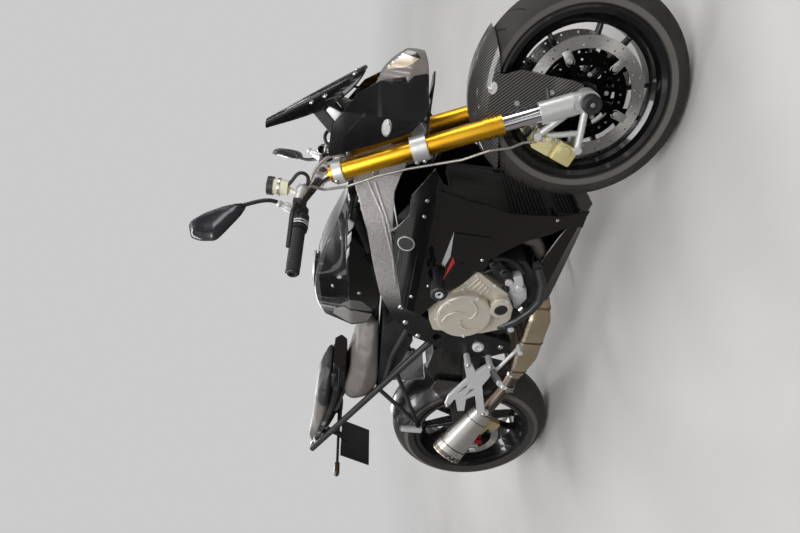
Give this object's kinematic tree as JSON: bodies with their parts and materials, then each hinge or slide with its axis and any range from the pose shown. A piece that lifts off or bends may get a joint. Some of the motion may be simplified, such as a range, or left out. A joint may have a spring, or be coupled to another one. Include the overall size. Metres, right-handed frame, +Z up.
{
  "type": "standard motorcycle",
  "caption": "Naked four-cylinder road motorcycle on its side stand, with upside-down fork, beam frame, slim tail and side exhaust.",
  "frame": {"origin": "on the ground, below the middle of the box round the parked machine", "axes": "+X points forward, +Y to the rider's left and +Z up; the machine leans 10 degrees to its left, onto its side stand"},
  "size_m": [2.0539, 0.8494, 1.3508],
  "materials": {
    "black_paint": "gloss",
    "black_gloss_plastic": "gloss",
    "black_plastic": "matte",
    "carbon": "gloss",
    "tyre": "matte",
    "rubber": "matte",
    "rim_black": "gloss",
    "disc_steel": "brushed",
    "chain_steel": "brushed",
    "gold_anodised": "satin",
    "caliper_gold": "satin",
    "chrome": "polished",
    "silver_cast": "satin",
    "frame_silver": "satin",
    "engine_black": "satin",
    "cover_champagne": "satin",
    "header_steel": "brushed",
    "collector_tinted": "brushed",
    "titanium": "brushed",
    "core_dark": "matte",
    "red_anodised": "satin",
    "hose_braid": "brushed",
    "cup_cream": "satin",
    "mirror_shell": "gloss",
    "lamp_clear": "gloss",
    "lamp_red": "gloss",
    "screen_smoke": "gloss",
    "guard_clear": "gloss",
    "seat_tan": "satin",
    "spring_steel": "satin"
  },
  "bodies": {
    "fork": {"fork_tubes": "gold_anodised", "fork_stanchions": "chrome", "fork_feet": "silver_cast", "front_calipers": "caliper_gold", "front_axle": "black_plastic", "lower_clamp": "silver_cast", "upper_clamp": "silver_cast", "handlebar": "engine_black", "hand_grips": "rubber", "hand_controls": "black_plastic", "fluid_reservoir": "cup_cream", "mirrors": "mirror_shell", "front_mudguard": "carbon", "brake_hoses": "hose_braid", "headlamp": "lamp_clear", "nose_cowl": "black_gloss_plastic", "windscreen": "screen_smoke", "instrument_panel": "black_plastic", "front_indicators": "lamp_clear"},
    "front_wheel": {"front_tyre": "tyre", "front_rim": "rim_black", "front_discs": "disc_steel"},
    "rear_wheel": {"rear_tyre": "tyre", "rear_rim": "rim_black", "rear_disc": "disc_steel", "rear_sprocket": "chain_steel"},
    "side_stand": {"side_stand": "engine_black"},
    "frame": {"main_frame": "frame_silver", "pivot_bolt": "silver_cast", "engine_block": "engine_black", "clutch_cover": "cover_champagne", "left_engine_covers": "cover_champagne", "radiator": "core_dark", "exhaust_headers": "header_steel", "exhaust_collector": "collector_tinted", "muffler": "titanium", "swingarm": "engine_black", "drive_chain": "chain_steel", "rear_shock": "spring_steel", "rear_subframe": "engine_black", "fuel_tank": "black_paint", "rider_seat": "seat_tan", "passenger_seat": "seat_tan", "seat_base": "black_plastic", "coolant_hose": "rubber", "tail_cowl": "black_gloss_plastic", "tail_lamp": "lamp_red", "plate_holder": "black_plastic", "rear_hugger": "black_gloss_plastic", "rear_caliper": "caliper_gold", "rear_axle": "silver_cast", "paddock_spools": "red_anodised", "side_fairings": "black_gloss_plastic", "belly_pan": "black_gloss_plastic", "crash_bobbins": "black_plastic", "rider_footrests": "silver_cast", "passenger_hangers": "engine_black", "splash_guard": "guard_clear"}
  },
  "joints": [
    {"name": "steering", "type": "hinge", "parent": "frame", "child": "fork", "pos_m": [0.45516, -0.0229, 0.80485], "axis": [-0.4143, 0.1579, 0.8964], "range_deg": [-39.8, 16.2]},
    {"name": "front_wheel_spin", "type": "hinge", "parent": "fork", "child": "front_wheel", "pos_m": [0.72948, -0.10585, 0.29224], "axis": [-0.1865, 0.9492, -0.2534], "continuous": true},
    {"name": "rear_wheel_spin", "type": "hinge", "parent": "frame", "child": "rear_wheel", "pos_m": [-0.70879, -0.10943, 0.31674], "axis": [-0.0004, 0.9848, -0.1736], "continuous": true},
    {"name": "side_stand_fold", "type": "hinge", "parent": "frame", "child": "side_stand", "pos_m": [-0.05942, 0.03864, 0.25667], "axis": [0.152, 0.8574, 0.4917], "range_deg": [0, 106.2]}
  ]
}
